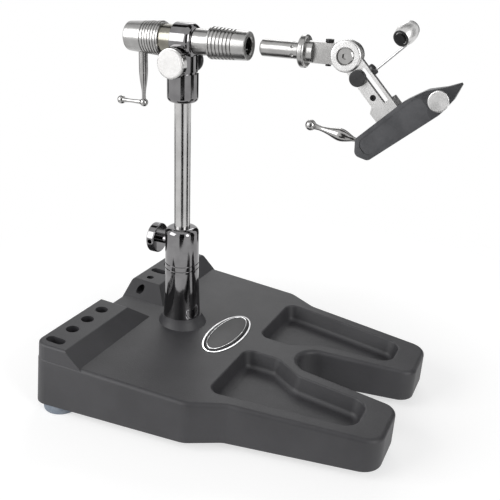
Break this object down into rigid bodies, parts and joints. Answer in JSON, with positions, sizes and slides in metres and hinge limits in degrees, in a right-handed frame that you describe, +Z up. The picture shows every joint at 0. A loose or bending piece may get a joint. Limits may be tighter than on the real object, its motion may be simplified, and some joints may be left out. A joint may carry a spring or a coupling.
{
  "type": "fly tying vise",
  "caption": "Rotary fly tying vise on a broad forked base with finger trays: clamped post, cranked spindle, quick-change chuck and a tilting cam jaw head drawn out in line with it.",
  "frame": {"origin": "centre of the vise's bounding box, on the table under the feet", "axes": "+X forwards to the prong tips and the jaws, +Y away from the white-capped knob, +Z up"},
  "size_m": [0.2126, 0.1738, 0.2322],
  "materials": {
    "base_plastic": "fine moulded grain, dark grey",
    "foot_rubber": "matte grey-blue rubber",
    "dark_chrome": "dark polished chrome",
    "satin_steel": "turned, satin",
    "bright_steel": "polished",
    "aluminium": "machined, lightly brushed",
    "gunmetal": "ground gunmetal grey",
    "black_oxide": "black oxide",
    "black_plastic": "black, half gloss",
    "white_plastic": "white, smooth",
    "brass": "turned brass",
    "ballast_iron": "bare plate",
    "spring_steel": "drawn wire",
    "o_ring": "black"
  },
  "bodies": {
    "base": {"base_body": "base_plastic", "ballast_plate": "ballast_iron", "bottom_cover": "base_plastic", "cover_screws": "black_oxide", "rubber_feet": "foot_rubber", "foot_screws": "black_oxide", "badge_plate": "black_plastic", "badge_rim": "bright_steel", "column": "dark_chrome", "column_bolt": "black_oxide", "column_washer": "black_oxide"},
    "stem_screw": {"stem_thumbscrew": "satin_steel", "clamp_pad": "brass"},
    "post": {"post": "bright_steel"},
    "bracket": {"head_bracket": "dark_chrome", "bracket_grub_screw": "black_oxide", "spindle_bushes": "brass", "tension_stud": "black_oxide"},
    "tension_knob": {"tension_knob": "bright_steel", "knob_cap": "white_plastic"},
    "counter_knob": {"counter_knob": "black_plastic"},
    "rotor": {"spindle": "satin_steel", "spacer_collar": "brass", "rotary_barrel": "satin_steel", "barrel_set_screw": "black_oxide", "crank_arm": "bright_steel", "crank_handle": "bright_steel", "chuck_body": "satin_steel", "lock_balls": "bright_steel", "nose_ring": "satin_steel", "sleeve_spring": "spring_steel"},
    "chuck_sleeve": {"chuck_sleeve": "satin_steel"},
    "head": {"head_shaft": "satin_steel", "tilt_lock_screw": "black_oxide", "pivot_screw": "bright_steel", "pivot_washer": "bright_steel", "pivot_nut": "bright_steel"},
    "arm": {"jaw_arm": "aluminium", "arm_grub_screw": "black_oxide", "jaw_foot_screws": "black_oxide", "near_jaw": "gunmetal", "rocker_pin": "black_oxide", "cam_pin": "black_oxide", "jaw_spring": "spring_steel"},
    "arm_knob": {"arm_knob": "black_plastic"},
    "clip": {"wire_ferrule": "black_plastic", "clip_wire": "spring_steel", "clip_body": "aluminium", "clip_end_caps": "black_oxide", "clip_rings": "o_ring"},
    "far_jaw": {"far_jaw": "gunmetal"},
    "jaw_knob": {"jaw_knob": "aluminium", "jaw_screw": "black_oxide", "jaw_screw_nut": "gunmetal"},
    "cam_lever": {"cam_lever": "bright_steel"}
  },
  "joints": [
    {"name": "stem_screw_turn", "type": "hinge", "parent": "base", "child": "stem_screw", "pos_m": [-0.05187, 0, 0.0894], "axis": [1, 0, 0], "range_deg": [-180, 180]},
    {"name": "post_slide", "type": "slide", "parent": "base", "child": "post", "axis": [0, 0, 1], "range_m": [-0.027, 0.008]},
    {"name": "head_swivel", "type": "hinge", "parent": "post", "child": "bracket", "pos_m": [-0.05187, 0, 0.213], "axis": [0, 0, 1], "continuous": true},
    {"name": "tension_knob_turn", "type": "hinge", "parent": "bracket", "child": "tension_knob", "pos_m": [-0.05187, 0, 0.2012], "axis": [0, 1, 0], "continuous": true},
    {"name": "counter_knob_turn", "type": "hinge", "parent": "bracket", "child": "counter_knob", "pos_m": [-0.05187, 0, 0.2012], "axis": [0, 1, 0], "continuous": true},
    {"name": "spindle_spin", "type": "hinge", "parent": "bracket", "child": "rotor", "pos_m": [-0.05187, 0, 0.213], "axis": [1, 0, 0], "continuous": true},
    {"name": "sleeve_slide", "type": "slide", "parent": "rotor", "child": "chuck_sleeve", "axis": [1, 0, 0], "range_m": [-0.003, 0], "stiffness_N_per_m": 600, "springref_m": 0.002, "deforming": ["sleeve_spring"]},
    {"name": "head_insert", "type": "slide", "parent": "rotor", "child": "head", "axis": [1, 0, 0], "range_m": [-0.0303, 0]},
    {"name": "arm_tilt", "type": "hinge", "parent": "head", "child": "arm", "pos_m": [0.04713, 0, 0.213], "axis": [0, 1, 0], "range_deg": [-45, 40]},
    {"name": "arm_knob_turn", "type": "hinge", "parent": "arm", "child": "arm_knob", "pos_m": [0.05486, -0.0064, 0.20282], "axis": [0, 1, 0], "continuous": true},
    {"name": "clip_swivel", "type": "hinge", "parent": "arm", "child": "clip", "pos_m": [0.06083, -0.00485, 0.20684], "axis": [0.7254, 0, 0.6884], "range_deg": [-90, 90]},
    {"name": "lever_swing", "type": "hinge", "parent": "arm", "child": "cam_lever", "pos_m": [0.06047, -0.0036, 0.16872], "axis": [0, 1, 0], "range_deg": [-82, 0]},
    {"name": "jaw_open", "type": "hinge", "parent": "arm", "child": "far_jaw", "pos_m": [0.07673, 0, 0.18181], "axis": [0.6884, 0, -0.7254], "range_deg": [-1.15, 0]},
    {"name": "jaw_knob_turn", "type": "hinge", "parent": "arm", "child": "jaw_knob", "pos_m": [0.09654, 0, 0.19537], "axis": [0, 1, 0], "continuous": true}
  ],
  "couplings": [
    {"joint": "jaw_open", "follows": "lever_swing", "ratio": 0.014024}
  ]
}
